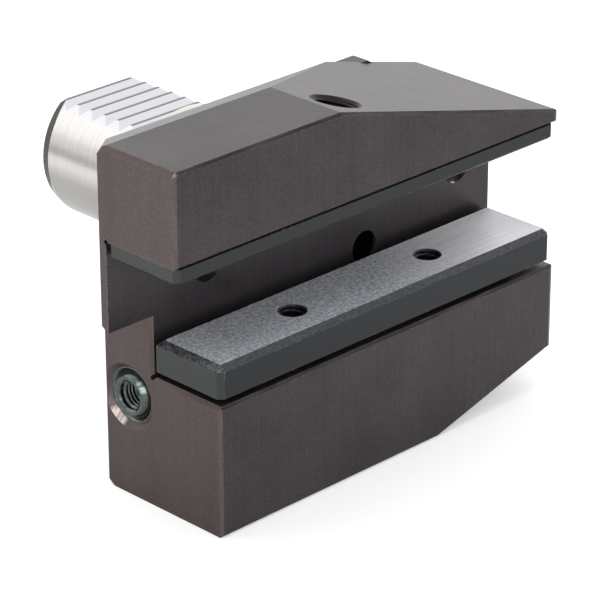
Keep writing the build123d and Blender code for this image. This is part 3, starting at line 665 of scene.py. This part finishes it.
# Painted light: the ends that face left take the lighter tone.
faces_left = add(tree, "MapRange", {"Value": facing.outputs[0], "From Min": LEFT_FROM,
                                    "From Max": LEFT_FULL})
around = add(tree, "Mix", {0: faces_left.outputs[0], 6: linear(SIDE_TONES[0]),
                           7: linear(SIDE_TONES[1])}, data_type="RGBA")
shaded_plate_bevel = add(tree, "Mix", {0: plate_bevel.outputs[0], 6: around.outputs[2],
                         7: linear(PLATE_BEVEL_SHADE)}, data_type="RGBA")
sides = add(tree, "Mix", {0: faces_up.outputs[0], 6: shaded_plate_bevel.outputs[2], 7: upper.outputs[2]},
            data_type="RGBA")
print("the bar's top band in mm:", TOP_BAND)

# %% [markdown]
# Along the edges of both pieces small ridges are rubbed bare. The shader's sockets come last:
# the bar's rubbed top scatters light as fine scratches do, so it is much less metallic than
# the sides, and rougher.

# %% Edges and gloss of the bar steel
BARE_RIDGE = "#b4b4b8"
RIDGE_CELL = (0.6, 0.6, 5)
BAR_EDGE_RADIUS = 0.2
TOP_METALLIC = 0.15
TOP_ROUGHNESS = 0.5

rubbed = add(tree, "MapRange", {"Value": drawn_out(tree, place, RIDGE_CELL), "From Min": 0.58,
                                "From Max": 0.7, "To Max": 0.6})
wear = add(tree, "Math", {0: near_edges(tree, BAR_EDGE_RADIUS, 0.99, 0.93),
                          1: rubbed.outputs[0]}, operation="MULTIPLY")
worn = add(tree, "Mix", {0: wear.outputs[0], 6: sides.outputs[2], 7: linear(BARE_RIDGE)},
           data_type="RGBA")
tree.links.new(worn.outputs[2], shader.inputs["Base Color"])
matt_top = add(tree, "MapRange", {"Value": faces_up.outputs[0], "To Min": 1.0,
                                  "To Max": TOP_METALLIC})
tree.links.new(matt_top.outputs[0], shader.inputs["Metallic"])
dull_top = add(tree, "MapRange", {"Value": faces_up.outputs[0], "To Min": BAR_ROUGHNESS,
                                  "To Max": TOP_ROUGHNESS})
tree.links.new(dull_top.outputs[0], shader.inputs["Roughness"])
relief = add(tree, "Bump", {"Height": mottle, "Strength": 0.2, "Distance": 0.02 * MM})
tree.links.new(relief.outputs[0], shader.inputs["Normal"])
print("bar steel nodes:", len(tree.nodes))

# %% [markdown]
# The small pieces have simple finishes: a polished ball, screws blackened almost to soot,
# springs of drawn wire and seals of black nitrile rubber. Each still gets some grain, because
# nothing real is perfectly even.

# %% Small steels and rubber
FINISHES = {   # two tones, roughness and the grain's size
    "polished_steel": ("#515956", "#656c69", 0.18, 0.6),
    "blackened_screw_steel": ("#2c2c2d", "#3a3a3b", 0.32, 0.4),
    "drawn_spring_wire": ("#6f6d6a", "#8d8b88", 0.3, 0.3),
    "nitrile_rubber": ("#161617", "#1e1e1f", 0.55, 0.5),
}
small = {}
for name, (dark, light, roughness, size) in FINISHES.items():
    made, tree, shader = new_material(name, roughness)
    place = add(tree, "TexCoord").outputs["Object"]
    fine = add(tree, "TexNoise", {"Vector": place, "Scale": 1 / (size * MM), "Detail": 3.0})
    tone = add(tree, "ValToRGB", {0: fine.outputs[0]})
    set_tones(tone, ((0.35, dark), (0.65, light)))
    tree.links.new(tone.outputs[0], shader.inputs["Base Color"])
    relief = add(tree, "Bump", {"Height": fine.outputs[0], "Strength": 0.1,
                                "Distance": 0.01 * MM})
    tree.links.new(relief.outputs[0], shader.inputs["Normal"])
    if "rubber" in name:
        shader.inputs["Metallic"].default_value = 0.0
    small[name] = made
print("small finishes:", sorted(small))

# %% [markdown]
# Each solid gets its finish by the first words of its name, so numbered screws and springs
# need only one line.

# %% Give each solid its finish
FINISH_OF = {
    "holder": holder_steel,
    "seat_plate": bar_steel,
    "clamping": bar_steel,
    "nozzle_ball": small["polished_steel"],
    "nozzle_ring": small["polished_steel"],
    "seat_screw": small["blackened_screw_steel"],
    "clamp_screw": small["blackened_screw_steel"],
    "pull_screw": small["blackened_screw_steel"],
    "bore_plug": small["blackened_screw_steel"],
    "pull_spring": small["drawn_spring_wire"],
    "nozzle_seal": small["nitrile_rubber"],
    "flange_seal": small["nitrile_rubber"],
    "inlet_seal": small["nitrile_rubber"],
}
for name, solid in nodes.items():
    finish = next(f for start, f in FINISH_OF.items() if name.startswith(start))
    solid.data.materials.clear()
    solid.data.materials.append(finish)
    print(name, "has", finish.name)

# %% [markdown]
# A tapped hole shows its thread as bright and dark rings. A thread is a ridge wound round the
# bore, so it is made as one: a small section, here a flat-topped wedge, is carried along a
# helix. The same function winds a spring if the section is a circle. All points are worked out
# at once as arrays, and the ends are closed, so each coil is a solid.

# %% A section carried along a helix
STEPS_PER_TURN = 40
SHARP_ANGLE = radians(35)


def coil(name, section, radius, heights, base, axis):
    """Wind a section round an axis.

    At turn t the section's centre is at angle 2 pi t and distance radius from the axis, and as
    far along it as heights says. A section point is (out, up): further out from the axis, and
    further along it. Each end is closed with one face.
    """
    axis = Vector(axis).normalized()
    across = axis.orthogonal().normalized()
    up, side_a, side_b = (np.array(v) for v in (axis, across, axis.cross(across)))
    turns = (len(heights) - 1) / STEPS_PER_TURN
    angle = np.linspace(0, 2 * pi * turns, len(heights))
    spoke = np.outer(np.cos(angle), side_a) + np.outer(np.sin(angle), side_b)
    section = np.array(section)
    out = radius + section[:, 0]
    rise = heights[:, None] + section[:, 1]
    rings = spoke[:, None, :] * out[None, :, None] + rise[:, :, None] * up
    rings = (rings + np.array(base)) * MM
    count, around = rings.shape[:2]
    index = np.arange(count * around).reshape(count, around)
    beside = np.roll(index, -1, axis=1)
    quads = np.stack([index[:-1], beside[:-1], beside[1:], index[1:]], axis=-1).reshape(-1, 4)
    faces = quads.tolist() + [index[0, ::-1].tolist(), index[-1].tolist()]
    mesh = bpy.data.meshes.new(name)
    mesh.from_pydata(rings.reshape(-1, 3).tolist(), [], faces)
    shape = bmesh.new()
    shape.from_mesh(mesh)
    bmesh.ops.recalc_face_normals(shape, faces=shape.faces)
    shape.to_mesh(mesh)
    shape.free()
    mesh.shade_smooth()
    mesh.set_sharp_from_angle(angle=SHARP_ANGLE)
    piece = bpy.data.objects.new(name, mesh)
    bpy.context.scene.collection.objects.link(piece)
    return piece


print("steps to a turn:", STEPS_PER_TURN)

# %% [markdown]
# The ridge of a tapped hole stands in from the wall of the plain hole.

# %% The ridge of a tapped hole
SUNK = 0.05
FOOT_SHARE = 0.42    # half the width of the ridge at the wall, as a share of the pitch
CREST_SHARE = 0.07   # and at its flat top


def tapped_thread(name, hole_radius, pitch, depth, length, mouth, into, body, finish):
    """Wind a wedge, as deep as the thread, inside a hole from its mouth inwards."""
    foot = FOOT_SHARE * pitch
    crest = CREST_SHARE * pitch
    wedge = [(SUNK, -foot), (0, -foot), (-depth, -crest), (-depth, crest), (0, foot),
             (SUNK, foot)]
    turns = length / pitch - 1
    steps = int(turns * STEPS_PER_TURN) + 1
    heights = pitch / 2 + np.arange(steps) * pitch / STEPS_PER_TURN
    piece = coil(name, wedge, hole_radius, heights, mouth, into)
    piece.data.materials.append(finish)
    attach(piece, body)
    print(name, "turns:", round(turns, 1))


print("the ridge fills", 2 * FOOT_SHARE, "of the wall")

# %% [markdown]
# The threads are placed from the mounts in the record where it has them, so they follow the
# holes. A mount's point lies on the hole's axis and its axis points out of the mouth.

# %% Threads
threads = [   # name, mount, pitch, depth, length, start outside the mouth, body, slot, finish
    ("port_thread", "coolant_port", 0.907, 0.36, 9.0, 0.9, "holder", "holder_steel",
     holder_steel),
    ("wall_thread_left", "wall_thread_1", 1.25, 0.42, 9.0, -0.1, "holder", "holder_steel",
     holder_steel),
    ("wall_thread_right", "wall_thread_2", 1.25, 0.42, 9.0, -0.1, "holder", "holder_steel",
     holder_steel),
    ("ball_thread", "nozzle_thread", 0.8, 0.4, 7.6, 0.0, "ball", "bright_steel",
     small["polished_steel"]),
]
for name, mount, pitch, depth, length, back, body, slot, finish in threads:
    row = mounts[mount]
    into = -Vector(row["axis"])
    start = Vector(row["pos_m"]) / MM - into * back
    tapped_thread(name, row["dims"]["r_mm"], pitch, depth, length, start, into, body,
                  finish)

# %% [markdown]
# The holes in the bar and in the underside have no mount, so their places come from the boxes
# of the screws that run in them. A thread starts a little inside its mouth, and ends at the
# screw's end or a little before it.

# %% Threads of the bar and of the underside
BAR_HOLE_R, BAR_PITCH, BAR_DEPTH = 2.5, 0.8, 0.36
BAR_INSET = 0.35
CLAMP_HOLE_R, CLAMP_PITCH, CLAMP_DEPTH = 5.05, 1.5, 0.7
CLAMP_INSET = 0.3
CLAMP_SCREW_GAP = 1.4

for number in (1, 2):
    low, high = (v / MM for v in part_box(f"pull_screw_{number}"))
    middle = (low + high) / 2
    top = bar_high.z / MM - BAR_INSET
    tapped_thread(f"bar_thread_{number}", BAR_HOLE_R, BAR_PITCH, BAR_DEPTH, top - high.z,
                  (middle.x, middle.y, top), (0, 0, -1), "clamp", bar_steel)
for number in (1, 2):
    low, high = (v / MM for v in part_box(f"clamp_screw_{number}"))
    middle = (low + high) / 2
    under = solid_low.z / MM + CLAMP_INSET
    tapped_thread(f"clamp_thread_{number}", CLAMP_HOLE_R, CLAMP_PITCH, CLAMP_DEPTH,
                  low.z - CLAMP_SCREW_GAP - under, (middle.x, middle.y, under), (0, 0, 1),
                  "holder", holder_steel)

# %% [markdown]
# A pull-down spring sits between its screw's head and the shoulder of its pocket. Its end
# turns lie flat, as on a real compression spring, so half a turn at each end doesn't climb.

# %% Springs
WIRE_R = 0.45
WIRE_SIDES = 12
SPRING_TURNS = 5.5
FLAT_TURNS = 0.5

around = np.linspace(0, 2 * pi, WIRE_SIDES, endpoint=False)
wire = np.stack([WIRE_R * np.cos(around), WIRE_R * np.sin(around)], axis=1)
wound = np.linspace(0, 1, int(SPRING_TURNS * STEPS_PER_TURN) + 1)
lead = FLAT_TURNS / SPRING_TURNS
climb = np.clip((wound - lead) / (1 - 2 * lead), 0, 1)
for number in (1, 2):
    low, high = (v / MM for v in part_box(f"pull_spring_{number}"))
    middle = (low + high) / 2
    heights = WIRE_R + (high.z - low.z - 2 * WIRE_R) * climb
    spring = coil(f"spring_{number}", wire, (high.x - low.x) / 2 - WIRE_R, heights,
                  (middle.x, middle.y, low.z), (0, 0, 1))
    spring.data.materials.append(small["drawn_spring_wire"])
    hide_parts(f"pull_spring_{number}")
    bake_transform(spring)
    print("spring", number, "length in mm:", round(high.z - low.z, 2))
